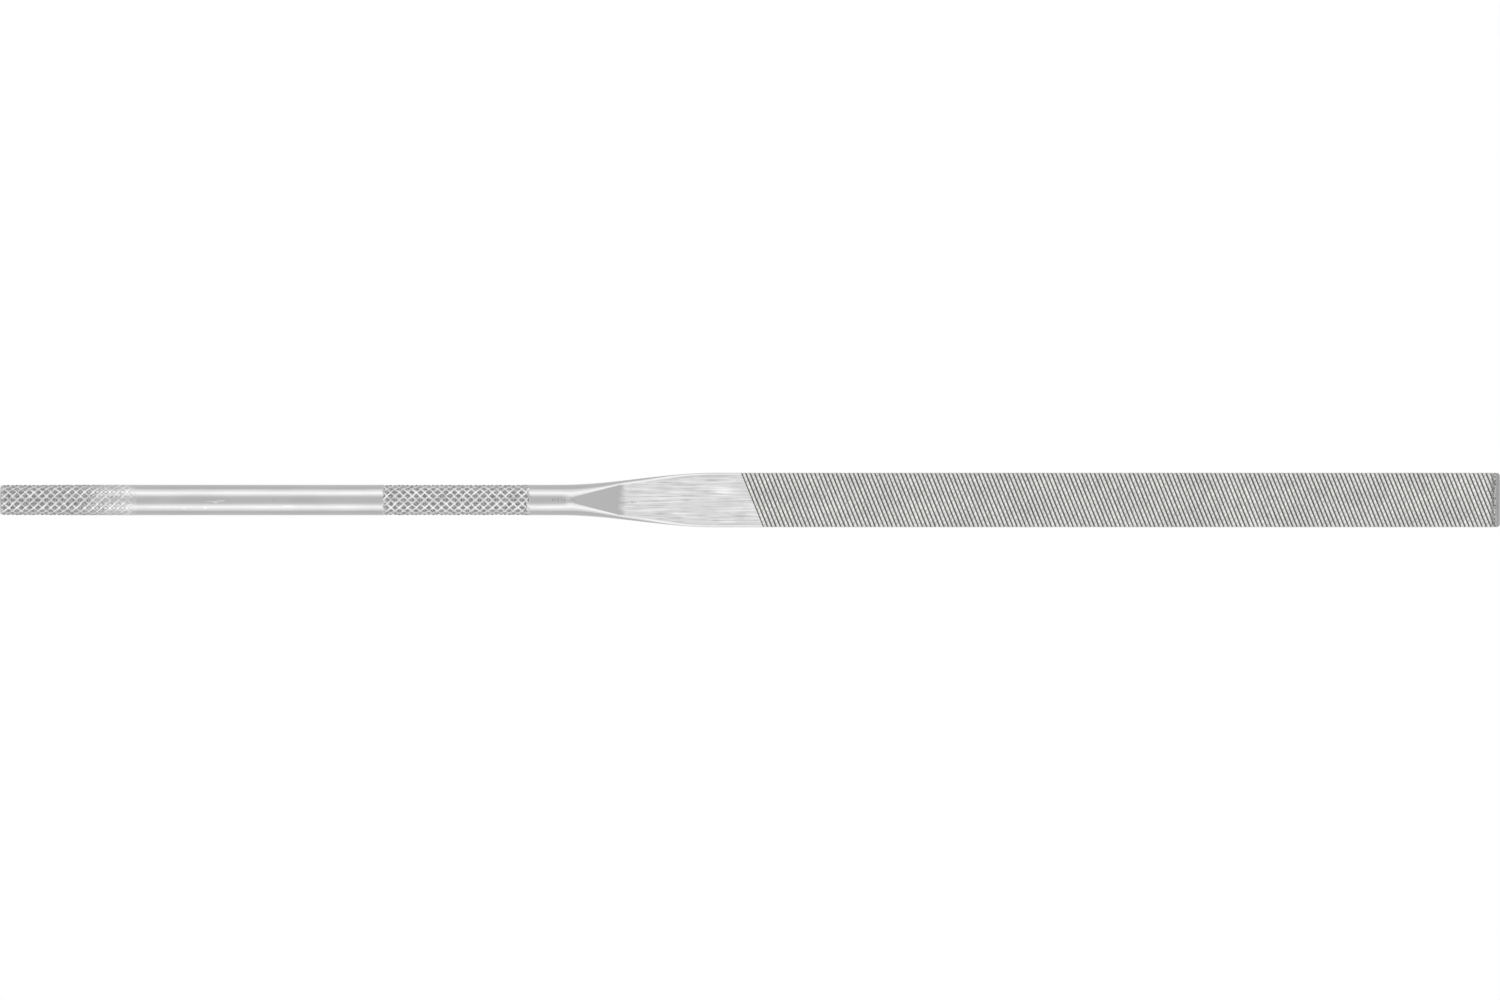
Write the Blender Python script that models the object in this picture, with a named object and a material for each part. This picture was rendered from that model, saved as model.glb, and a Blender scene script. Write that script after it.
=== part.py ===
"""Slim flat file with a round knurled handle, forged from one bar of tool steel.

The bar is modelled as the zones that its maker works one after another. They meet face to face, because the
real file is one piece. Metres, +Z up: the file lies level along X, its tail at -X and its point at +X, with the
round handle on Z = 0 and the blade centred on the handle's axis.
"""

from math import cos, pi, radians, sin, tan

import bmesh
import bpy

MM = 0.001

# Stations along the file, measured from the tail end
LENGTH = 215.0 * MM
REAR_KNURL_END = 19.6 * MM
FRONT_KNURL_START = 54.8 * MM
FRONT_KNURL_END = 76.0 * MM
SHOULDER_START = 80.4 * MM    # the round bar begins to spread, and the ground faces begin in a point
RAMP_END = 89.3 * MM          # the ground faces reach the blade's thickness
SHOULDER_END = 102.5 * MM     # the blade reaches its full width
CUT_START = 106.2 * MM        # the first tooth, at the edge where it begins
CUT_END = 214.1 * MM

# Cross-sections
SHANK_DIAMETER = 4.4 * MM
BLADE_WIDTH = 7.8 * MM
BLADE_THICKNESS = 2.4 * MM

# Details
TAIL_ROUNDING = 0.5 * MM
POINT_CORNER = 0.5 * MM
POINT_BEVEL_DROP = 0.3 * MM   # how far each broad face falls across the bare point
TOOTH_DEPTH = 0.3 * MM
CUT_LEAN = radians(22.2)      # a tooth against a line square across the blade

# Shape of the forged shoulder
SQUARING_POWER = 0.65         # below 1 the section turns square early

# Fineness of the facets
ROUND_SIDES = 64
ROUNDING_STEPS = 6
SHOULDER_STEPS = 36
FLANK_STEPS = 8
SMOOTH_BELOW = radians(35)

SHANK_RADIUS = SHANK_DIAMETER / 2
HALF_WIDTH = BLADE_WIDTH / 2
HALF_THICKNESS = BLADE_THICKNESS / 2
CORE_HALF_THICKNESS = HALF_THICKNESS - TOOTH_DEPTH
LEAN_RUN = BLADE_WIDTH * tan(CUT_LEAN)    # how much later the first tooth begins at the far edge

# Steel finishes: colour, roughness
FINISHES = {
    "knurled_steel": ((0.50, 0.50, 0.49), 0.35),
    "shank_steel": ((0.62, 0.62, 0.61), 0.25),
    "ground_steel": ((0.68, 0.68, 0.67), 0.38),
    "cut_steel": ((0.52, 0.52, 0.51), 0.32),
}


def clear_scene():
    for leftover in list(bpy.data.objects):
        bpy.data.objects.remove(leftover)


def steel(node_name, finish):
    """A separate material for each zone, in one of the four finishes."""
    colour, roughness = FINISHES[finish]
    material = bpy.data.materials.new(node_name + "_" + finish)
    material.use_nodes = True
    shader = material.node_tree.nodes["Principled BSDF"]
    shader.inputs["Base Color"].default_value = (*colour, 1.0)
    shader.inputs["Metallic"].default_value = 1.0
    shader.inputs["Roughness"].default_value = roughness
    return material


def file_axis():
    """The empty that carries every zone: at the tail end, on the handle's axis."""
    axis = bpy.data.objects.new("file_axis", None)
    axis.location = (-LENGTH / 2, 0.0, SHANK_RADIUS)
    bpy.context.collection.objects.link(axis)
    return axis


def add_zone(axis, name, shape, start, finish, smooth=False):
    """Turn a finished bmesh into a named object whose rear face stands at start."""
    bmesh.ops.recalc_face_normals(shape, faces=shape.faces)
    mesh = bpy.data.meshes.new(name)
    shape.to_mesh(mesh)
    shape.free()
    if smooth:
        mesh.shade_smooth()
        mesh.set_sharp_from_angle(angle=SMOOTH_BELOW)
    mesh.materials.append(steel(name, finish))
    zone = bpy.data.objects.new(name, mesh)
    bpy.context.collection.objects.link(zone)
    zone.parent = axis
    zone.location = (start, 0.0, 0.0)
    return zone


# Shapes of revolution: the round handle

def turned(profile):
    """Spin an open profile of (along, radius) points round the X axis into a closed solid."""
    shape = bmesh.new()
    points = [shape.verts.new((along, 0.0, radius)) for along, radius in profile]
    edges = [shape.edges.new(pair) for pair in zip(points, points[1:])]
    bmesh.ops.spin(shape, geom=points + edges, cent=(0.0, 0.0, 0.0), axis=(1.0, 0.0, 0.0),
                   angle=2 * pi, steps=ROUND_SIDES, use_merge=True)
    bmesh.ops.remove_doubles(shape, verts=shape.verts, dist=0.001 * MM)
    return shape


def round_bar(length):
    return turned([(0.0, 0.0), (0.0, SHANK_RADIUS), (length, SHANK_RADIUS), (length, 0.0)])


def rounded_tail_bar(length):
    """A round bar whose rear rim is rounded over."""
    rim = []
    for step in range(ROUNDING_STEPS + 1):
        turn = (pi / 2) * step / ROUNDING_STEPS
        rim.append((TAIL_ROUNDING * (1 - sin(turn)), SHANK_RADIUS - TAIL_ROUNDING * (1 - cos(turn))))
    return turned([(0.0, 0.0)] + rim[::-1] + [(length, SHANK_RADIUS), (length, 0.0)])


# The forged and ground shoulder

def smoothstep(share):
    return share * share * (3.0 - 2.0 * share)


def shoulder_half_width(station):
    share = (station - SHOULDER_START) / (SHOULDER_END - SHOULDER_START)
    return SHANK_RADIUS + (HALF_WIDTH - SHANK_RADIUS) * smoothstep(share)


def shoulder_half_height(station):
    """The ground faces: level with the neck at first, falling ever more steeply, then level with the blade."""
    share = min(1.0, (station - SHOULDER_START) / (RAMP_END - SHOULDER_START))
    return SHANK_RADIUS - (SHANK_RADIUS - HALF_THICKNESS) * share ** 2


def flank_turn(station):
    """The angle that each rounded flank still turns through: a quarter turn at the neck, none at the blade."""
    share = (station - SHOULDER_START) / (SHOULDER_END - SHOULDER_START)
    return max(0.001, (pi / 2) * (1.0 - share ** SQUARING_POWER))


def quarter_section(station):
    """Points from the widest point of one flank up to the edge of the ground face, then to its middle."""
    half_width = shoulder_half_width(station)
    half_height = shoulder_half_height(station)
    turn = flank_turn(station)
    points = []
    for step in range(FLANK_STEPS + 1):
        angle = turn * step / FLANK_STEPS
        points.append((half_width * cos(angle), half_height * sin(angle) / sin(turn)))
    points.append((0.0, half_height))
    return points


def whole_section(station):
    """The quarter, reflected into a closed ring without repeated points."""
    quarter = quarter_section(station)
    upper = quarter + [(-y, z) for y, z in quarter[-2::-1]]
    lower = [(y, -z) for y, z in upper[-2:0:-1]]
    return upper + lower


def shoulder():
    shape = bmesh.new()
    rings = []
    for step in range(SHOULDER_STEPS + 1):
        along = (SHOULDER_END - SHOULDER_START) * step / SHOULDER_STEPS
        section = whole_section(SHOULDER_START + along)
        rings.append([shape.verts.new((along, y, z)) for y, z in section])
    for rear, front in zip(rings, rings[1:]):
        for index in range(len(rear)):
            after = (index + 1) % len(rear)
            shape.faces.new((rear[index], rear[after], front[after], front[index]))
    shape.faces.new(rings[0])
    shape.faces.new(rings[-1])
    bmesh.ops.remove_doubles(shape, verts=shape.verts, dist=0.001 * MM)
    return shape


# The flat blade

def slab(outline, low, high):
    """A flat plate over an outline of (along, across) points, between two heights."""
    shape = bmesh.new()
    face = shape.faces.new([shape.verts.new((along, across, low)) for along, across in outline])
    grown = bmesh.ops.extrude_face_region(shape, geom=[face])["geom"]
    raised = [item for item in grown if isinstance(item, bmesh.types.BMVert)]
    bmesh.ops.translate(shape, verts=raised, vec=(0.0, 0.0, high - low))
    return shape


def blade_outline(start, start_far_edge, end):
    """Straight sides, a square front end, and a rear end that may lean: +Y edge first, then -Y edge."""
    return [(start, HALF_WIDTH), (start_far_edge, -HALF_WIDTH), (end, -HALF_WIDTH), (end, HALF_WIDTH)]


def heel():
    """Full thickness up to the first tooth, then a thin ground lip on each face up to the leaning tooth line.

    The two lips lean opposite ways, because the lower face is the upper one turned half round the bar.
    """
    length = CUT_START - SHOULDER_END
    shape = slab(blade_outline(0.0, 0.0, length), -HALF_THICKNESS, HALF_THICKNESS)
    for level in (-CORE_HALF_THICKNESS, CORE_HALF_THICKNESS):
        bmesh.ops.bisect_plane(shape, geom=shape.verts[:] + shape.edges[:] + shape.faces[:], dist=0.001 * MM,
                               plane_co=(0.0, 0.0, level), plane_no=(0.0, 0.0, 1.0))
    front = [face for face in shape.faces if face.calc_center_median().x > length - 0.01 * MM]
    lips = [face for face in front if abs(face.calc_center_median().z) > CORE_HALF_THICKNESS]
    for lip in lips:
        far_side = -1.0 if lip.calc_center_median().z > 0.0 else 1.0
        grown = bmesh.ops.extrude_face_region(shape, geom=[lip])["geom"]
        corners = [item for item in grown if isinstance(item, bmesh.types.BMVert)]
        far_corners = [corner for corner in corners if corner.co.y * far_side > 0.0]
        bmesh.ops.translate(shape, verts=far_corners, vec=(LEAN_RUN, 0.0, 0.0))
    bmesh.ops.delete(shape, geom=lips, context='FACES_ONLY')
    bmesh.ops.remove_doubles(shape, verts=shape.verts, dist=0.001 * MM)
    return shape


def blade_core():
    return slab(blade_outline(0.0, 0.0, CUT_END - CUT_START), -CORE_HALF_THICKNESS, CORE_HALF_THICKNESS)


def cut_layer():
    """The steel of one broad face from the roots of its teeth to their crests."""
    return slab(blade_outline(0.0, LEAN_RUN, CUT_END - CUT_START), CORE_HALF_THICKNESS, HALF_THICKNESS)


def point():
    """The bare end: corners rounded in plan, and both broad faces bevelled towards the end."""
    length = LENGTH - CUT_END
    shape = slab(blade_outline(0.0, 0.0, length), -HALF_THICKNESS, HALF_THICKNESS)
    corners = [edge for edge in shape.edges
               if all(vert.co.x > length / 2 for vert in edge.verts)
               and edge.verts[0].co.y * edge.verts[1].co.y > 0.0]
    bmesh.ops.bevel(shape, geom=corners, offset=POINT_CORNER, offset_type='OFFSET', segments=ROUNDING_STEPS,
                    profile=0.5, affect='EDGES', material=-1)
    for vert in shape.verts:
        side = 1.0 if vert.co.z > 0.0 else -1.0
        vert.co.z -= side * POINT_BEVEL_DROP * vert.co.x / length
    return shape


def build():
    clear_scene()
    axis = file_axis()
    add_zone(axis, "rear_knurl", rounded_tail_bar(REAR_KNURL_END), 0.0, "knurled_steel", smooth=True)
    add_zone(axis, "plain_shank", round_bar(FRONT_KNURL_START - REAR_KNURL_END), REAR_KNURL_END,
             "shank_steel", smooth=True)
    add_zone(axis, "front_knurl", round_bar(FRONT_KNURL_END - FRONT_KNURL_START), FRONT_KNURL_START,
             "knurled_steel", smooth=True)
    add_zone(axis, "neck", round_bar(SHOULDER_START - FRONT_KNURL_END), FRONT_KNURL_END,
             "shank_steel", smooth=True)
    add_zone(axis, "shoulder", shoulder(), SHOULDER_START, "shank_steel", smooth=True)
    add_zone(axis, "heel", heel(), SHOULDER_END, "ground_steel")
    add_zone(axis, "blade_core", blade_core(), CUT_START, "ground_steel")
    add_zone(axis, "upper_cut", cut_layer(), CUT_START, "cut_steel")
    lower_cut = add_zone(axis, "lower_cut", cut_layer(), CUT_START, "cut_steel")
    lower_cut.rotation_euler.x = pi
    add_zone(axis, "point", point(), CUT_END, "ground_steel")


build()
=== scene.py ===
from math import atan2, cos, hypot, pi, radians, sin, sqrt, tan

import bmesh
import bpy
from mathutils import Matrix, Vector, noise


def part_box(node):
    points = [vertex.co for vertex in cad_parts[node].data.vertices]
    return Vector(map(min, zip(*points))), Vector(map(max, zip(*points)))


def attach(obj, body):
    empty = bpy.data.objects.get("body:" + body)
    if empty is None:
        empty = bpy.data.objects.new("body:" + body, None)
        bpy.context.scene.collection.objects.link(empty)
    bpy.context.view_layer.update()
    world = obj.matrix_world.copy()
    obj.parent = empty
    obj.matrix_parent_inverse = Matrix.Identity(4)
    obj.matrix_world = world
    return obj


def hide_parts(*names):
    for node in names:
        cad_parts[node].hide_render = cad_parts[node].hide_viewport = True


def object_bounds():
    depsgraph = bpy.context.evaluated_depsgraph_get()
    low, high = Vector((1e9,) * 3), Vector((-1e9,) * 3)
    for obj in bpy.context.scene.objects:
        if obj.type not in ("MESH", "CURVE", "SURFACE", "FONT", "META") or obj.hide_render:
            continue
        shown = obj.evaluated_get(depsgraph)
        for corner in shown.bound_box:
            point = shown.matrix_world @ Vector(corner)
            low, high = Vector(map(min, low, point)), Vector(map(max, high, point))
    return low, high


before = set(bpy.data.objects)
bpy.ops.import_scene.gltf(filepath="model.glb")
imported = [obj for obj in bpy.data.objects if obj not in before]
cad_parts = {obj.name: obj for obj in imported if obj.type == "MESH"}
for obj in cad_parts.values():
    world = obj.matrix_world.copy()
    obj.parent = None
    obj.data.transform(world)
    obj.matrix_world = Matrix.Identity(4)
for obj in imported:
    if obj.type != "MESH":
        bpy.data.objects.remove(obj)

# A slim flat file in one piece of hardened steel: a round handle with two knurled grips, a forged and ground
# shoulder, and a flat blade whose two broad faces are cut with crossing rows of chisel teeth.
#
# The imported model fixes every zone's place and size. Each zone is modelled again here with the surface that
# its maker's tool leaves on it. Lengths are in metres; MM turns a drawing size in millimetres into them.

MM = 0.001

cad_low, cad_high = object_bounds()

# The drawn bar
DRAWN_STEP = 0.12 * MM               # between two rings of points along it
DRAWN_SIDES = 132
DRAWN_UNEVENNESS = 0.004 * MM
DRAWN_SHRINK = 0.002                 # a share of the radius: it keeps the swells inside the bar's own size

# The knurling wheels: two crossing hands of V-grooves
KNURL_STARTS = 11
KNURL_PITCH = 1.213 * MM             # along the handle
KNURL_STEPS = 12                     # facets along one pitch, and round the handle in one start
KNURL_FULL_DEPTH = 0.20 * MM
KNURL_WALL_SLOPE = 0.62
KNURL_ROOT_RADIUS = 0.09 * MM
KNURL_LINE_WIDTH = 0.15 * MM         # half the width of the painted highlight line along a groove's root
REAR_SECOND_HAND = 0.6               # the second wheel's lines against the first one's
FRONT_SECOND_HAND = 0.85
REAR_FADE_START = 6.0 * MM           # from the tail: the wheel is lifted slowly from here to the knurl's end
REAR_FADE_DEPTH = 0.05 * MM          # what is left of the groove just before it runs out
REAR_RUN_OUT = 1.6 * MM
FRONT_RUN_OUT = 0.6 * MM
KNURL_WOBBLE = 0.10                  # a share of the pitch
KNURL_WOBBLE_LENGTH = 0.7 * MM
KNURL_UNEVENNESS = 0.25              # a share of the depth
KNURL_UNEVEN_LENGTH = 1.5 * MM
TAIL_ROUNDING = 0.5 * MM
TAIL_ROUNDING_STEPS = 5
FACING_RINGS = 13                    # the lathe's rings on the tail's end face
FACING_STEP = 0.13 * MM
FACING_DEPTH = 0.02 * MM

# The chisel teeth: the main rows make the visible strokes, and the shallow rows cross them
TOOTH_PITCH = 0.617 * MM             # along the blade
TOOTH_LEAN = radians(22.2)           # a row against a line square across the blade
TOOTH_DEPTH = 0.26 * MM
CROSS_PITCH = 0.784 * MM             # along the blade
CROSS_LEAN = radians(-44.2)
CROSS_DEPTH = 0.085 * MM
ACROSS_STEPS = 80                    # facets across the blade
TOOTH_RUN_OUT = 0.6 * MM             # before the point: the last strokes grow shallow

# The forged shoulder
RAMP_END = 8.9 * MM                  # from its rear end: the ground faces reach the blade's thickness
RAMP_SOFTNESS = 0.4 * MM             # half the length of the blend between the ramp and the flat face
BORDER_SOFTNESS = 0.45 * MM          # the same for the ragged border between polished and ground steel
FACE_START = 0.005                   # a share of the shoulder's length
FACE_SPREAD = 5.75 * MM              # a face's half width, as it would grow along the whole shoulder
LEAST_FLANK = 0.62 * MM
EDGE_ANGLE = radians(22)             # between the flank, where it ends, and the ground face
EDGE_GROWTH = 0.07                   # a share of the shoulder's length, over which that angle opens
SHOULDER_STEPS = 150
SIDE_STEPS = 3
FLANK_STEPS = 14
FACE_STEPS = 24

# The blade's rounded long edges, before the teeth are cut
EDGE_WIDTH = 0.40 * MM
EDGE_DROP = 0.27 * MM
TOOTH_EDGE_WIDTH = 0.25 * MM
TOOTH_EDGE_DROP = 0.20 * MM

POINT_CORNER = 0.5 * MM
POINT_CORNER_STEPS = 10
POINT_BEVEL_DROP = 0.3 * MM          # how far each broad face falls across the bare point
EDGE_BREAK = 0.08 * MM               # the fine bevel that deburring leaves round the point
WELD = 0.0005 * MM


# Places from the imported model

shank_low, shank_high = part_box("plain_shank")
SHANK_RADIUS = (shank_high.y - shank_low.y) / 2
AXIS_HEIGHT = (shank_high.z + shank_low.z) / 2
core_low, core_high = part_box("blade_core")
upper_low, upper_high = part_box("upper_cut")
shoulder_low, shoulder_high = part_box("shoulder")
SHOULDER_LENGTH = shoulder_high.x - shoulder_low.x
HALF_WIDTH = core_high.y
HALF_THICKNESS = upper_high.z - AXIS_HEIGHT
CORE_HALF_THICKNESS = core_high.z - AXIS_HEIGHT


# Finished pieces

def add_piece(name, shape, materials, nodes, sharp_above=35):
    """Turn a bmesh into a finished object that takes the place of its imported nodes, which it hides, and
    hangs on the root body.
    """
    mesh = bpy.data.meshes.new(name)
    shape.to_mesh(mesh)
    shape.free()
    mesh.shade_smooth()
    mesh.set_sharp_from_angle(angle=radians(sharp_above))
    for material in materials:
        mesh.materials.append(material)
    piece = bpy.data.objects.new(name, mesh)
    bpy.context.collection.objects.link(piece)
    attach(piece, "root")
    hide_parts(*nodes)
    return piece


def onto_axis(shape, start=0.0):
    """Move a shape that is modelled round the X axis from its own zero to its place on the file's axis."""
    bmesh.ops.translate(shape, verts=shape.verts, vec=(start, 0.0, AXIS_HEIGHT))


def smoothstep(share):
    share = min(1.0, max(0.0, share))
    return share * share * (3.0 - 2.0 * share)


def edge_drop(from_edge, width, drop):
    """How far a rounded edge lies below the flat face, at a distance in from the side."""
    first_angle = atan2(drop, width * tan(EDGE_ANGLE))
    inside = 1.0 - (1.0 - cos(first_angle)) * min(1.0, max(0.0, from_edge / width))
    return drop * (1.0 - sqrt(1.0 - inside * inside) / sin(first_angle))


def press_marks(shape, marks):
    """Mark the upper side: (along, across, length, width, depth) in millimetres, and how bright it is, a
    painted glint above zero and a darker nick below it.
    """
    nick_tone_and_glint = shape.verts.layers.float.new("nick_tone_and_glint")
    for point in shape.verts:
        if point.co.z <= 0.0:
            continue
        for along, across, length, width, depth, shine in marks:
            from_x = (point.co.x / MM - along) / length
            from_y = (point.co.y / MM - across) / width
            nearness = 1.0 - from_x * from_x - from_y * from_y
            if nearness > 0.0:
                point.co.z -= depth * MM * nearness
                point[nick_tone_and_glint] = shine * smoothstep(1.5 * nearness)


# The round handle

def turned(profile, sides):
    """Spin an open profile of (along, radius) points round the X axis into a closed solid."""
    shape = bmesh.new()
    points = [shape.verts.new((along, 0.0, radius)) for along, radius in profile]
    edges = [shape.edges.new(pair) for pair in zip(points, points[1:])]
    bmesh.ops.spin(shape, geom=points + edges, cent=(0.0, 0.0, 0.0), axis=(1.0, 0.0, 0.0),
                   angle=2 * pi, steps=sides, use_merge=True)
    bmesh.ops.remove_doubles(shape, verts=shape.verts, dist=WELD)
    bmesh.ops.recalc_face_normals(shape, faces=shape.faces)
    return shape


def straight_stretch(first, last, steps):
    return [(first + (last - first) * step / steps, SHANK_RADIUS) for step in range(steps + 1)]


def drawn_bar(name, node, marks, material):
    """A plain stretch of the handle, very slightly uneven from drawing and polishing, with its nicks."""
    low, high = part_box(node)
    length = high.x - low.x
    steps = round(length / DRAWN_STEP)
    profile = [(0.0, 0.0)] + straight_stretch(0.0, length, steps) + [(length, 0.0)]
    shape = turned(profile, DRAWN_SIDES)
    for point in shape.verts:
        stretched = Vector((point.co.x / (9 * MM), point.co.y / MM, point.co.z / MM))
        unevenness = DRAWN_UNEVENNESS * noise.noise(stretched)
        fade = smoothstep(min(point.co.x, length - point.co.x) / MM)
        if hypot(point.co.y, point.co.z) > SHANK_RADIUS / 2:
            point.co.yz = point.co.yz * (1.0 - fade * (DRAWN_SHRINK + unevenness / SHANK_RADIUS))
    bmesh.ops.translate(shape, verts=shape.verts, vec=(low.x, 0.0, 0.0))
    press_marks(shape, marks)
    onto_axis(shape)
    return add_piece(name, shape, [material], [node])


def groove_depth(across, full_depth):
    """A V-groove with a rounded root."""
    return full_depth - KNURL_WALL_SLOPE * (hypot(across, KNURL_ROOT_RADIUS) - KNURL_ROOT_RADIUS)


def press_knurl(shape, depth_at, second_hand):
    """Press the two crossing hands of grooves into a turned bar, and note where each point lies in them, for
    a painted highlight along the roots and painted shade down the groove walls.
    """
    root_line_highlight = shape.verts.layers.float.new("root_line_highlight")
    pressed_and_shaded = shape.verts.layers.float.new("pressed_and_shaded")
    for point in shape.verts:
        radius = hypot(point.co.y, point.co.z)
        if radius < SHANK_RADIUS - TAIL_ROUNDING:
            continue
        turn = atan2(point.co.y, point.co.z) * KNURL_STARTS / (2 * pi)
        along = point.co.x / KNURL_PITCH
        full_depth = depth_at(point.co)
        deepest = 0.0
        brightest = 0.0
        wobble = KNURL_WOBBLE * noise.noise(point.co / KNURL_WOBBLE_LENGTH)
        for phase, strength in ((along - turn, 1.0), (along + turn, second_hand)):
            across = abs(phase + wobble - round(phase + wobble)) * KNURL_PITCH * sin(pi / 4)
            deepest = max(deepest, groove_depth(across, full_depth * (0.8 + 0.2 * strength)))
            gaps = noise.noise(Vector((along * 1.3, turn * 1.3, strength * 20.0)))
            unbroken = min(1.0, strength * (1.0 + 1.1 * gaps))
            brightest = max(brightest, unbroken * (1.0 - smoothstep(across / KNURL_LINE_WIDTH / 1.6)))
        # A painted highlight along each groove's root, and below, a mask for painted shade and more roughness
        # down the groove walls
        point[root_line_highlight] = brightest * smoothstep(full_depth / (0.05 * MM))
        in_groove = smoothstep(deepest / (0.03 * MM)) * (0.4 + 0.6 * smoothstep(full_depth / (0.14 * MM)))
        all_over = smoothstep((full_depth - 0.09 * MM) / (0.07 * MM))
        point[pressed_and_shaded] = max(in_groove, all_over)
        point.co.yz = point.co.yz * ((radius - deepest) / radius)


def knurled_bar(name, node, depth_at, second_hand, tail, material):
    low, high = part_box(node)
    length = high.x - low.x
    steps = round(length / KNURL_PITCH * KNURL_STEPS)
    stretch = straight_stretch(0.0, length, steps)
    start = [(0.0, 0.0)]
    if tail:
        start += [(FACING_DEPTH * (ring % 2), ring * FACING_STEP) for ring in range(1, FACING_RINGS)]
        for step in range(TAIL_ROUNDING_STEPS):
            turn = (pi / 2) * step / TAIL_ROUNDING_STEPS
            start.append((TAIL_ROUNDING * (1 - cos(turn)), SHANK_RADIUS - TAIL_ROUNDING * (1 - sin(turn))))
        stretch = [point for point in stretch if point[0] >= TAIL_ROUNDING]
    shape = turned(start + stretch + [(length, 0.0)], KNURL_STARTS * KNURL_STEPS)
    skin = [face for face in shape.faces if abs(face.normal.x) < 0.5]
    bmesh.ops.poke(shape, faces=skin)
    for point in shape.verts:
        radius = hypot(point.co.y, point.co.z)
        if radius > SHANK_RADIUS * 0.99 and radius < SHANK_RADIUS:
            point.co.yz = point.co.yz * (SHANK_RADIUS / radius)
    press_knurl(shape, depth_at(length), second_hand)
    onto_axis(shape, low.x)
    return add_piece(name, shape, [material], [node], sharp_above=50)


def rear_depth(length):
    def depth_at(place):
        fade = (place.x - REAR_FADE_START) / (length - REAR_FADE_START)
        depth = KNURL_FULL_DEPTH + (REAR_FADE_DEPTH - KNURL_FULL_DEPTH) * min(1.0, max(0.0, fade))
        uneven = 1.0 + KNURL_UNEVENNESS * noise.noise(place / KNURL_UNEVEN_LENGTH)
        ragged = 0.6 * MM * noise.noise(place / (0.5 * MM))
        run_out = smoothstep((length - place.x + ragged) / REAR_RUN_OUT)
        rim = smoothstep(place.x / TAIL_ROUNDING)
        return depth * uneven * run_out * rim
    return depth_at


def front_depth(length):
    def depth_at(place):
        uneven = 1.0 + KNURL_UNEVENNESS * noise.noise(place / KNURL_UNEVEN_LENGTH)
        ragged = 0.35 * MM * noise.noise(place / (0.6 * MM))
        from_end = min(place.x, length - place.x) + ragged
        return KNURL_FULL_DEPTH * uneven * smoothstep(from_end / FRONT_RUN_OUT)
    return depth_at


# The forged shoulder

def grinding_unevenness(along, across):
    """The faint swells that a grinding wheel leaves on a flat face, longer along the file than across it."""
    swell = noise.noise(Vector((along / (3.0 * MM), across / (0.9 * MM), 0.3)))
    streak = noise.noise(Vector((along / (1.6 * MM), across / (0.22 * MM), 4.1)))
    return 0.006 * MM * swell + 0.0015 * MM * streak


def ramp_fall(along):
    return min(1.0, max(0.0, along / RAMP_END)) ** 2


def shoulder_section(along):
    """One closed ring: bulging flanks that grow squarer, and ground faces that meet them in an edge."""
    share = along / SHOULDER_LENGTH
    half_width = SHANK_RADIUS + (HALF_WIDTH - SHANK_RADIUS) * smoothstep(share)
    fall = (ramp_fall(along - RAMP_SOFTNESS) + ramp_fall(along) + ramp_fall(along + RAMP_SOFTNESS)) / 3
    half_height = SHANK_RADIUS + (HALF_THICKNESS - SHANK_RADIUS) * fall
    least_width = LEAST_FLANK + (EDGE_WIDTH - LEAST_FLANK) * smoothstep((share - 0.7) / 0.25)
    face_edge = min(FACE_SPREAD * max(0.0, share - FACE_START), half_width - least_width)
    flank_width = half_width - face_edge
    flank_height = EDGE_DROP + (half_height - EDGE_DROP) * (1.0 - smoothstep((share - 0.15) / 0.75))
    edge_slope = tan(EDGE_ANGLE * smoothstep(share / EDGE_GROWTH))
    last_angle = atan2(flank_height, flank_width * edge_slope)
    bulge = flank_width / (1.0 - cos(last_angle))
    quarter = [(half_width, (half_height - flank_height) * step / SIDE_STEPS) for step in range(SIDE_STEPS)]
    for step in range(FLANK_STEPS + 1):
        angle = last_angle * step / FLANK_STEPS
        y = half_width - bulge * (1.0 - cos(angle))
        quarter.append((y, half_height - flank_height + flank_height * sin(angle) / sin(last_angle)))
    quarter += [(face_edge * (1 - step / FACE_STEPS), half_height) for step in range(1, FACE_STEPS + 1)]
    upper = quarter + [(-y, z) for y, z in quarter[-2::-1]]
    return upper + [(y, -z) for y, z in upper[-2:0:-1]]


def steel_sheet(along_steps, across_steps, place):
    """A grid of quads whose corners are put in place by their step along and their step across."""
    shape = bmesh.new()
    bmesh.ops.create_grid(shape, x_segments=along_steps, y_segments=across_steps, size=0.5)
    for point in shape.verts:
        along = round((point.co.x + 0.5) * along_steps)
        across = round((point.co.y + 0.5) * across_steps)
        point.co = place(along, across)
    return shape


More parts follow.
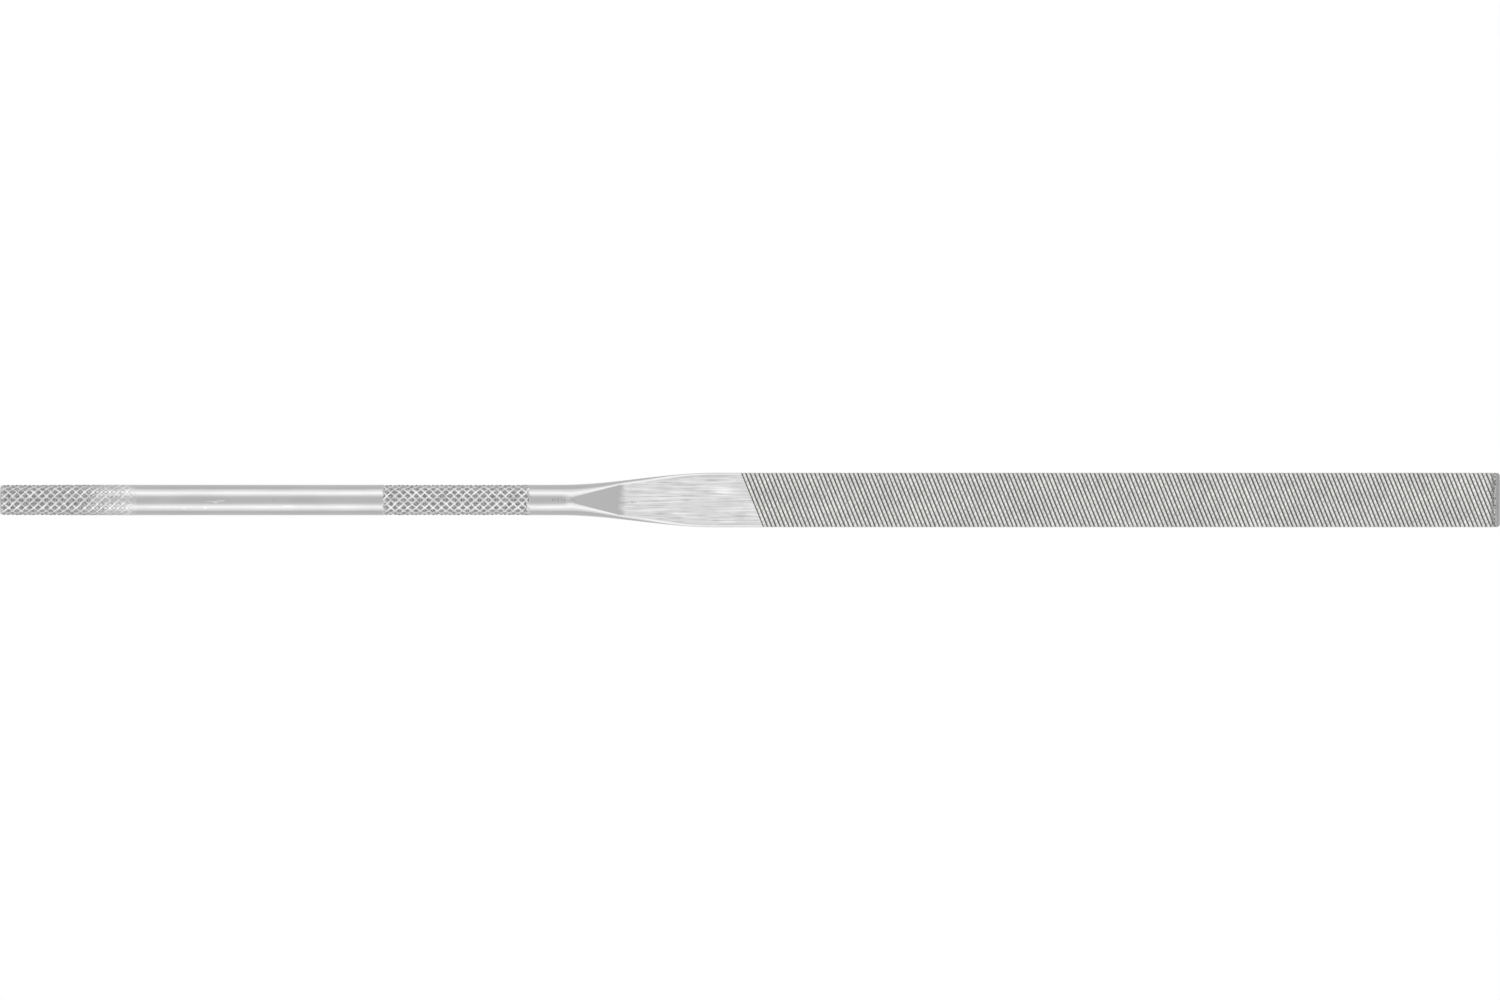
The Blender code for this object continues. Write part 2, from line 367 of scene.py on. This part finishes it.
def forged_shoulder(marks, drawn, ground):
    sections = [shoulder_section(SHOULDER_LENGTH * step / SHOULDER_STEPS)
                for step in range(SHOULDER_STEPS + 1)]
    around = len(sections[0])
    half_ring = around // 2
    rounded_steps = SIDE_STEPS + FLANK_STEPS

    def place(along, across):
        y, z = sections[along][across % around]
        on_face = rounded_steps < across % half_ring < half_ring - rounded_steps
        x = shoulder_low.x + SHOULDER_LENGTH * along / SHOULDER_STEPS
        if on_face:
            z += grinding_unevenness(x, y) * smoothstep(along / 12)
        return Vector((x, y, z))

    shape = steel_sheet(SHOULDER_STEPS, around, place)
    bmesh.ops.remove_doubles(shape, verts=shape.verts, dist=WELD)
    bmesh.ops.holes_fill(shape, edges=[edge for edge in shape.edges if edge.is_boundary], sides=0)
    bmesh.ops.recalc_face_normals(shape, faces=shape.faces)
    for face in shape.faces:
        share = (face.calc_center_median().x - shoulder_low.x) / SHOULDER_LENGTH
        reach = shoulder_section(SHOULDER_LENGTH * min(1.0, max(0.0, share)))[rounded_steps][0]
        on_face = abs(face.normal.z) > 0.9 and abs(face.calc_center_median().y) < reach
        face.material_index = 1 if on_face else 0
    press_marks(shape, marks)
    onto_axis(shape)
    return add_piece("forged_shoulder", shape, [drawn, ground], ["shoulder"], sharp_above=12)


# The blade

def block(low_x, high_x, half_width, low_z, high_z):
    """A box between two stations, centred across the blade."""
    shape = bmesh.new()
    bmesh.ops.create_cube(shape, size=1.0)
    size = Vector((high_x - low_x, 2 * half_width, high_z - low_z))
    centre = Vector(((low_x + high_x) / 2, 0.0, (low_z + high_z) / 2))
    bmesh.ops.scale(shape, verts=shape.verts, vec=size)
    bmesh.ops.translate(shape, verts=shape.verts, vec=centre)
    return shape


def break_edges(shape, edges, width, segments=2):
    bmesh.ops.bevel(shape, geom=edges, offset=width, offset_type='OFFSET', segments=segments, profile=0.5,
                    affect='EDGES', material=-1)


def slice_at(shape, place, normal, **cut):
    everything = shape.verts[:] + shape.edges[:] + shape.faces[:]
    bmesh.ops.bisect_plane(shape, geom=everything, dist=WELD, plane_co=place, plane_no=normal, **cut)


def score(shape, axis, first, last, step):
    """Cut a shape's faces with evenly spaced planes, to give them points that can be moved."""
    normal = Vector((0.0, 0.0, 0.0))
    normal[axis] = 1.0
    for cut in range(1, round((last - first) / step)):
        place = Vector((0.0, 0.0, 0.0))
        place[axis] = first + cut * step
        slice_at(shape, place, normal)


def ground_heel(ground, drawn):
    """Full thickness up to the first tooth, then a thin lip on each face up to the leaning tooth line."""
    low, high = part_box("heel")
    rear, front = low.x, upper_low.x
    lean_run = high.x - upper_low.x
    shape = block(rear, front, HALF_WIDTH, -HALF_THICKNESS, HALF_THICKNESS)
    for level in (-CORE_HALF_THICKNESS, CORE_HALF_THICKNESS):
        slice_at(shape, (0.0, 0.0, level), (0.0, 0.0, 1.0))
    lips = [face for face in shape.faces
            if face.normal.x > 0.9 and abs(face.calc_center_median().z) > CORE_HALF_THICKNESS]
    for lip in lips:
        far_side = -1.0 if lip.calc_center_median().z > 0.0 else 1.0
        grown = bmesh.ops.extrude_face_region(shape, geom=[lip])["geom"]
        far_corners = [item for item in grown
                       if isinstance(item, bmesh.types.BMVert) and item.co.y * far_side > 0.0]
        bmesh.ops.translate(shape, verts=far_corners, vec=(lean_run, 0.0, 0.0))
    bmesh.ops.delete(shape, geom=lips, context='FACES_ONLY')
    bmesh.ops.remove_doubles(shape, verts=shape.verts, dist=WELD)
    score(shape, 0, rear, high.x, 0.3 * MM)
    score(shape, 1, -HALF_WIDTH, HALF_WIDTH, 0.2 * MM)
    score(shape, 1, -HALF_WIDTH, EDGE_WIDTH - HALF_WIDTH, 0.05 * MM)
    score(shape, 1, HALF_WIDTH - EDGE_WIDTH, HALF_WIDTH, 0.05 * MM)
    for point in shape.verts:
        if abs(point.co.z) > HALF_THICKNESS - WELD:
            from_edge = HALF_WIDTH - abs(point.co.y)
            side = 1.0 if point.co.z > 0.0 else -1.0
            point.co.z -= side * edge_drop(from_edge, EDGE_WIDTH, EDGE_DROP)
            if from_edge > EDGE_WIDTH:
                point.co.z += grinding_unevenness(point.co.x, point.co.y)
    bmesh.ops.recalc_face_normals(shape, faces=shape.faces)
    for face in shape.faces:
        from_edge = HALF_WIDTH - abs(face.calc_center_median().y)
        face.material_index = 1 if from_edge < EDGE_WIDTH else 0
    onto_axis(shape)
    return add_piece("ground_heel", shape, [ground, drawn], ["heel"])


def blade_body(material):
    """The solid middle of the blade: its two narrow edges carry the long swells of edge grinding."""
    shape = block(core_low.x, core_high.x, HALF_WIDTH, core_low.z, core_high.z)
    score(shape, 0, core_low.x, core_high.x, 0.8 * MM)
    score(shape, 2, core_low.z, core_high.z, 0.3 * MM)
    for point in shape.verts:
        at_end = min(point.co.x - core_low.x, core_high.x - point.co.x) < WELD
        at_face = min(point.co.z - core_low.z, core_high.z - point.co.z) < WELD
        if not at_end and not at_face:
            side = 1.0 if point.co.y > 0.0 else -1.0
            swell = noise.noise(Vector((point.co.x / (4.0 * MM), side * 3.0, point.co.z / (0.5 * MM))))
            point.co.y -= side * 0.006 * MM * (1.0 + swell)
    return add_piece("blade_body", shape, [material], ["blade_core"])


# One chisel tooth from root to crest: share of the pitch towards the point, share of the depth
TOOTH_PROFILE = ((0.00, 0.00), (0.10, 0.05), (0.26, 0.66), (0.56, 0.87), (0.88, 1.00), (0.96, 0.40))


def tooth_face(name, node, lower, seed, material):
    """One broad face of crossing chisel strokes, closed below at the roots' plane."""
    low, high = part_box(node)
    start, end = low.x, high.x
    columns = len(TOOTH_PROFILE)
    teeth = int((end - start) / TOOTH_PITCH) + 1
    shift = Vector((seed * 7.3, seed * 3.1, 0.0))

    def place(along, across):
        tooth, column = divmod(along, columns)
        share, height = TOOTH_PROFILE[column]
        y = HALF_WIDTH * (2.0 * across / ACROSS_STEPS - 1.0)
        unsteady = noise.noise(Vector((tooth * 1.7, y / (6.0 * MM), seed * 5.0)))
        x = start + (HALF_WIDTH - y) * tan(TOOTH_LEAN)
        x += (tooth + share) * TOOTH_PITCH
        if tooth > 0:
            x += 0.04 * TOOTH_PITCH * unsteady
        cross_phase = (x - y * tan(-CROSS_LEAN)) / CROSS_PITCH
        cross = 1.0 - abs(cross_phase - round(cross_phase)) * 2.0
        uneven = noise.noise(Vector((x / (0.9 * MM), y / (0.45 * MM), 0.0)) + shift)
        struck = 1.0 - 0.06 * (1.0 + noise.noise(Vector((tooth * 0.9, y / (2.0 * MM), seed * 9.0))))
        run_out = smoothstep((end - x) / TOOTH_RUN_OUT + 0.5 * uneven)
        struck *= 0.3 + 0.7 * run_out
        z = TOOTH_DEPTH * height * struck - CROSS_DEPTH * height * cross * cross * (1.0 + 0.5 * uneven)
        z = min(z, TOOTH_DEPTH - edge_drop(HALF_WIDTH - abs(y), TOOTH_EDGE_WIDTH, TOOTH_EDGE_DROP))
        return Vector((x, y, z))

    shape = steel_sheet(teeth * columns, ACROSS_STEPS, place)
    bmesh.ops.translate(shape, verts=shape.verts, vec=(0.0, 0.0, HALF_THICKNESS - TOOTH_DEPTH))
    slice_at(shape, (end, 0.0, 0.0), (1.0, 0.0, 0.0), clear_outer=True)
    rim = [edge for edge in shape.edges if edge.is_boundary]
    skirt = bmesh.ops.extrude_edge_only(shape, edges=rim)["geom"]
    for item in skirt:
        if isinstance(item, bmesh.types.BMVert):
            item.co.z = CORE_HALF_THICKNESS
    bmesh.ops.holes_fill(shape, edges=[edge for edge in shape.edges if edge.is_boundary], sides=0)
    bmesh.ops.recalc_face_normals(shape, faces=shape.faces)
    if lower:
        bmesh.ops.rotate(shape, verts=shape.verts, cent=(0.0, 0.0, 0.0), matrix=Matrix.Rotation(pi, 3, 'X'))
    onto_axis(shape)
    return add_piece(name, shape, [material], [node], sharp_above=25)


def bare_point(material):
    """The end in front of the last tooth: rounded corners in plan, both faces bevelled towards the end."""
    low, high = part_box("point")
    length = high.x - low.x
    shape = block(0.0, length, HALF_WIDTH, -HALF_THICKNESS, HALF_THICKNESS)
    corners = [edge for edge in shape.edges
               if all(vert.co.x > length / 2 for vert in edge.verts)
               and edge.verts[0].co.y * edge.verts[1].co.y > 0.0]
    break_edges(shape, corners, POINT_CORNER, segments=POINT_CORNER_STEPS)
    for vert in shape.verts:
        side = 1.0 if vert.co.z > 0.0 else -1.0
        vert.co.z -= side * POINT_BEVEL_DROP * vert.co.x / length
    rim = [edge for edge in shape.edges if edge.calc_face_angle() > radians(50)
           and any(vert.co.x > 0.01 * MM for vert in edge.verts)]
    break_edges(shape, rim, EDGE_BREAK)
    onto_axis(shape, low.x)
    return add_piece("bare_point", shape, [material], ["point"])


# Steel finishes

def node(tree, kind, inputs, **settings):
    """Add a node; an input given as a socket is linked, any other is set."""
    made = tree.nodes.new(kind)
    for setting, value in settings.items():
        setattr(made, setting, value)
    for name, value in inputs.items():
        if isinstance(value, bpy.types.NodeSocket):
            tree.links.new(value, made.inputs[name])
        else:
            made.inputs[name].default_value = value
    return made


def calculate(tree, operation, *values):
    """One step of arithmetic on sockets and numbers."""
    return node(tree, "ShaderNodeMath", dict(enumerate(values)), operation=operation).outputs[0]


def mix(tree, share, first, second):
    return node(tree, "ShaderNodeMix", {"Factor": share, "A": first, "B": second}).outputs["Result"]


def attribute(tree, name):
    return node(tree, "ShaderNodeAttribute", {}, attribute_name=name).outputs["Fac"]


def coordinate(tree, axis):
    """One of the object's own coordinates."""
    place = node(tree, "ShaderNodeTexCoord", {}).outputs["Object"]
    return node(tree, "ShaderNodeSeparateXYZ", {"Vector": place}).outputs[axis]


def steel(name):
    """A bare metal to which each finish adds its own colour, roughness and relief."""
    material = bpy.data.materials.new(name)
    material.use_nodes = True
    shader = material.node_tree.nodes["Principled BSDF"]
    shader.inputs["Metallic"].default_value = 1.0
    return material, material.node_tree, shader


def grain(tree, scale, detail=2.0):
    """Noise on the object's own coordinates, with its grain set separately along X, Y and Z (per metre)."""
    place = node(tree, "ShaderNodeTexCoord", {}).outputs["Object"]
    stretched = node(tree, "ShaderNodeMapping", {"Vector": place, "Scale": scale}).outputs["Vector"]
    cloud = node(tree, "ShaderNodeTexNoise", {"Vector": stretched, "Scale": 1.0, "Detail": detail})
    return cloud.outputs["Fac"]


def above_axis(tree):
    """How far a point lies above or below the file's axis."""
    return calculate(tree, 'ABSOLUTE', calculate(tree, 'SUBTRACT', coordinate(tree, "Z"), AXIS_HEIGHT))


def spread(tree, value, low, high, from_low=0.3, from_high=0.7):
    """Map a noise value, which lies mostly between 0.3 and 0.7, to a range."""
    return node(tree, "ShaderNodeMapRange", {"Value": value, "From Min": from_low, "From Max": from_high,
                                             "To Min": low, "To Max": high}).outputs["Result"]


def tinted(tree, brightness, tint):
    """Turn a brightness into a colour by a tint of red, green and blue."""
    parts = [calculate(tree, 'MULTIPLY', brightness, share) for share in tint]
    return node(tree, "ShaderNodeCombineColor", dict(zip(("Red", "Green", "Blue"), parts))).outputs[0]


def with_dark_nicks_and_glints(tree, brightness):
    """Darken a finish in its nicks, and brighten it with a painted glint on its bright marks."""
    change = spread(tree, attribute(tree, "nick_tone_and_glint"), 0.4, 1.6, -1.0, 1.0)
    return calculate(tree, 'MULTIPLY', brightness, change)


def relief(tree, shader, height, depth):
    bump = node(tree, "ShaderNodeBump", {"Height": height, "Distance": depth})
    tree.links.new(bump.outputs["Normal"], shader.inputs["Normal"])


def finish(tree, shader, brightness, roughness, tint=(1.0, 1.0, 1.0)):
    tree.links.new(tinted(tree, brightness, tint), shader.inputs["Base Color"])
    tree.links.new(roughness, shader.inputs["Roughness"])


def drawn_steel():
    material, tree, shader = steel("drawn_steel")
    cloud = grain(tree, (150.0, 500.0, 500.0))
    lines = grain(tree, (250.0, 9000.0, 9000.0), 3.0)
    finish(tree, shader, with_dark_nicks_and_glints(tree, spread(tree, cloud, 0.43, 0.47)), spread(tree, lines, 0.12, 0.20))
    relief(tree, shader, lines, 0.0012 * MM)
    return material


def knurled_steel():
    """A painted highlight along the grooves' roots, and duller diamonds between them, darkened with painted
    shade.
    """
    material, tree, shader = steel("knurled_steel")
    pressed_and_shaded = attribute(tree, "pressed_and_shaded")
    specks = grain(tree, (5000.0, 5000.0, 5000.0))
    # Painted shade down the groove walls, against a plain tone on the untouched tops
    painted_wall_shade = spread(tree, specks, 0.13, 0.45)
    plain = spread(tree, specks, 0.45, 0.49)
    diamond = mix(tree, pressed_and_shaded, plain, painted_wall_shade)
    # Painted highlight along the groove roots
    painted_root_highlight = spread(tree, specks, 0.80, 0.62)
    brightness = mix(tree, attribute(tree, "root_line_highlight"), diamond, painted_root_highlight)
    finish(tree, shader, brightness, mix(tree, pressed_and_shaded, 0.25, 0.38))
    relief(tree, shader, specks, 0.010 * MM)
    return material


def ground_steel():
    """Surface grinding along the file, over a ramp that the wheel has only polished."""
    material, tree, shader = steel("ground_steel")
    reach = spread(tree, grain(tree, (250.0, 1200.0, 10.0)), -BORDER_SOFTNESS, BORDER_SOFTNESS)
    ragged = calculate(tree, 'ADD', coordinate(tree, "X"), reach)
    border = shoulder_low.x + RAMP_END
    ground = spread(tree, ragged, 0.0, 1.0, border - BORDER_SOFTNESS, border + BORDER_SOFTNESS)
    clouds = spread(tree, grain(tree, (230.0, 420.0, 10.0), 4.0), 0.60, 0.73)
    streaks = grain(tree, (170.0, 5000.0, 5000.0), 3.0)
    crowding = spread(tree, grain(tree, (200.0, 330.0, 10.0), 1.0), 0.10, 0.42)
    streaky = calculate(tree, 'MULTIPLY', spread(tree, streaks, -0.5, 0.5), crowding)
    scuffs = spread(tree, grain(tree, (260.0, 2900.0, 10.0), 4.0), 0.0, -0.13, 0.54, 0.66)
    matt = calculate(tree, 'ADD', calculate(tree, 'ADD', clouds, streaky), scuffs)
    brightness = with_dark_nicks_and_glints(tree, mix(tree, ground, 0.46, matt))
    finish(tree, shader, brightness, mix(tree, ground, 0.28, 0.42))
    relief(tree, shader, streaks, 0.003 * MM)
    return material


def edge_steel():
    material, tree, shader = steel("edge_steel")
    streaks = grain(tree, (200.0, 9000.0, 9000.0), 3.0)
    finish(tree, shader, spread(tree, streaks, 0.43, 0.51), spread(tree, streaks, 0.34, 0.22))
    relief(tree, shader, streaks, 0.003 * MM)
    return material


def point_steel():
    """Edge steel whose rear border is spoilt by the burrs and run-outs of the last strokes."""
    material, tree, shader = steel("point_steel")
    specks = grain(tree, (4500.0, 4500.0, 4500.0), 3.0)
    reach = spread(tree, grain(tree, (10.0, 2500.0, 10.0)), 0.05 * MM, 0.5 * MM)
    border = calculate(tree, 'ADD', reach, upper_high.x)
    beside = calculate(tree, 'LESS_THAN', coordinate(tree, "X"), border)
    on_face = calculate(tree, 'GREATER_THAN', above_axis(tree), CORE_HALF_THICKNESS)
    burr = calculate(tree, 'MULTIPLY', beside, on_face)
    smooth = spread(tree, specks, 0.45, 0.53)
    spoilt = spread(tree, specks, 0.10, 0.75, 0.4, 0.6)
    finish(tree, shader, mix(tree, burr, smooth, spoilt), spread(tree, specks, 0.34, 0.24))
    relief(tree, shader, specks, 0.004 * MM)
    return material


def cut_steel():
    """Painted highlight along the backs and crests of the teeth, and painted shade in their gullets, set by
    height above the roots.
    """
    material, tree, shader = steel("cut_steel")
    level = above_axis(tree)
    sideways = calculate(tree, 'ABSOLUTE', coordinate(tree, "Y"))
    at_edge = spread(tree, sideways, 0.0, 0.8, HALF_WIDTH - TOOTH_EDGE_WIDTH, HALF_WIDTH - 0.06 * MM)
    root = HALF_THICKNESS - TOOTH_DEPTH
    # Painted shade at the tooth roots rising to a painted highlight at the crests, eased to one tone near the
    # blade's edges
    cut = spread(tree, level, 0.29, 0.76, root + 0.05 * TOOTH_DEPTH, root + 0.95 * TOOTH_DEPTH)
    shine = mix(tree, at_edge, cut, 0.55)
    fleck = spread(tree, grain(tree, (3500.0, 1200.0, 3500.0), 3.0), 0.82, 1.12)
    patch = spread(tree, grain(tree, (120.0, 300.0, 10.0)), 0.93, 1.05)
    brightness = calculate(tree, 'MULTIPLY', shine, calculate(tree, 'MULTIPLY', fleck, patch))
    roughness = spread(tree, level, 0.5, 0.32, root, HALF_THICKNESS)
    finish(tree, shader, brightness, roughness, tint=(1.0, 0.995, 0.972))
    return material


# Studio

# A white light tent along the file: glow against the angle from straight overhead down to either side
TENT_GLOW = ((0, 1.0), (22, 1.06), (38, 1.6), (54, 2.2), (72, 1.65), (92, 1.25), (180, 1.0))
TENT_BRIGHTEST = 2.2
OPEN_END_GLOW = 0.3                  # the tent's two open ends against its middle
WINDOW_PLACE = (-0.43, -0.17, 0.886)  # a brighter window in its roof, towards the file's tail
WINDOW_GLOW = 0.3


def eased(tree, value, first, last, near, far):
    return node(tree, "ShaderNodeMapRange", {"Value": value, "From Min": first, "From Max": last,
                                             "To Min": near, "To Max": far},
                interpolation_type='SMOOTHSTEP').outputs["Result"]


def light_tent():
    world = bpy.data.worlds.new("light_tent")
    bpy.context.scene.world = world
    world.use_nodes = True
    tree = world.node_tree
    background = tree.nodes["Background"]
    direction = node(tree, "ShaderNodeTexCoord", {}).outputs["Generated"]
    parts = node(tree, "ShaderNodeSeparateXYZ", {"Vector": direction})
    sideways = calculate(tree, 'ABSOLUTE', parts.outputs["Y"])
    angle = calculate(tree, 'ARCTAN2', sideways, parts.outputs["Z"])
    glow = node(tree, "ShaderNodeValToRGB", {"Fac": calculate(tree, 'DIVIDE', angle, pi)})
    stops = glow.color_ramp.elements
    for degrees, _ in TENT_GLOW[len(stops):]:
        stops.new(degrees / 180)
    for stop, (degrees, level) in zip(stops, TENT_GLOW):
        stop.position = degrees / 180
        stop.color = (level / TENT_BRIGHTEST,) * 3 + (1.0,)
    endways = calculate(tree, 'ABSOLUTE', parts.outputs["X"])
    side_light = eased(tree, endways, 0.14, 0.42, 1.0, 0.0)
    tent = mix(tree, side_light, 1.0, calculate(tree, 'MULTIPLY', glow.outputs["Color"], TENT_BRIGHTEST))
    facing = node(tree, "ShaderNodeVectorMath", {0: direction, 1: WINDOW_PLACE},
                  operation='DOT_PRODUCT').outputs["Value"]
    window = eased(tree, facing, 0.90, 0.985, 0.0, WINDOW_GLOW)
    panels = calculate(tree, 'ADD', tent, window)
    open_ends = eased(tree, endways, 0.57, 0.87, 1.0, OPEN_END_GLOW)
    above = calculate(tree, 'MULTIPLY', panels, open_ends)
    upwards = calculate(tree, 'GREATER_THAN', parts.outputs["Z"], 0.0)
    strength = mix(tree, upwards, 1.0, above)
    background.inputs["Color"].default_value = (1.0, 1.0, 1.0, 1.0)
    tree.links.new(strength, background.inputs["Strength"])


def overhead_camera():
    camera_data = bpy.data.cameras.new("overhead_camera")
    camera_data.type = 'ORTHO'
    camera_data.ortho_scale = cad_high.x - cad_low.x
    camera = bpy.data.objects.new("overhead_camera", camera_data)
    camera.location = ((cad_low.x + cad_high.x) / 2, 0.0, 0.5)
    bpy.context.collection.objects.link(camera)
    bpy.context.scene.camera = camera


def white_floor():
    """A lit white table, so that nothing on it throws a shadow."""
    shape = bmesh.new()
    bmesh.ops.create_grid(shape, x_segments=1, y_segments=1, size=2.0)
    mesh = bpy.data.meshes.new("floor")
    shape.to_mesh(mesh)
    shape.free()
    floor = bpy.data.objects.new("floor", mesh)
    bpy.context.collection.objects.link(floor)
    floor.location.z = cad_low.z
    white = bpy.data.materials.new("white_table")
    white.use_nodes = True
    shader = white.node_tree.nodes["Principled BSDF"]
    shader.inputs["Base Color"].default_value = (0.0, 0.0, 0.0, 1.0)
    shader.inputs["Specular IOR Level"].default_value = 0.0
    shader.inputs["Emission Color"].default_value = (1.0, 1.0, 1.0, 1.0)
    shader.inputs["Emission Strength"].default_value = 1.0
    mesh.materials.append(white)


def studio():
    bpy.context.scene.view_settings.view_transform = 'Standard'
    overhead_camera()
    white_floor()
    light_tent()


# Nicks from use and handling, on the side that lies uppermost, some darker and some with a painted glint;
# press_marks says what the numbers are
SHANK_MARKS = ((-77.2, -0.25, 1.2, 0.07, 0.012, 0.5), (-75.9, -0.15, 1.0, 0.08, 0.012, 0.6),
               (-76.6, -0.35, 0.5, 0.09, 0.015, 0.8), (-78.1, -1.1, 0.25, 0.12, 0.015, 0.5),
               (-81.1, -1.2, 0.2, 0.1, 0.015, 0.5), (-68.3, 0.0, 0.14, 0.12, 0.01, -0.5),
               (-66.2, -0.9, 1.0, 0.08, 0.01, 0.3))
NECK_MARKS = ((-28.25, 0.0, 0.12, 0.26, 0.02, -0.4), (-27.85, 0.05, 0.11, 0.2, 0.02, -0.25),
              (-27.45, 0.0, 0.13, 0.3, 0.03, -0.5))
SHOULDER_MARKS = ((-27.05, 0.0, 0.15, 0.32, 0.03, -0.45), (-26.6, -0.1, 0.16, 0.26, 0.03, -0.35),
                  (-26.1, 0.15, 0.3, 0.16, 0.02, 0.35), (-25.3, 0.0, 0.24, 0.12, 0.02, -0.4),
                  (-16.9, -0.35, 0.16, 0.16, 0.03, -0.75), (-16.5, -0.33, 0.4, 0.08, 0.02, -0.4))


def build():
    drawn = drawn_steel()
    knurled = knurled_steel()
    ground = ground_steel()
    edge = edge_steel()
    point = point_steel()
    cut = cut_steel()
    knurled_bar("rear_grip", "rear_knurl", rear_depth, REAR_SECOND_HAND, True, knurled)
    drawn_bar("smooth_handle", "plain_shank", SHANK_MARKS, drawn)
    knurled_bar("front_grip", "front_knurl", front_depth, FRONT_SECOND_HAND, False, knurled)
    drawn_bar("smooth_neck", "neck", NECK_MARKS, drawn)
    forged_shoulder(SHOULDER_MARKS, drawn, ground)
    ground_heel(ground, drawn)
    blade_body(edge)
    tooth_face("upper_teeth", "upper_cut", False, 1, cut)
    tooth_face("lower_teeth", "lower_cut", True, 2, cut)
    bare_point(point)
    studio()


build()
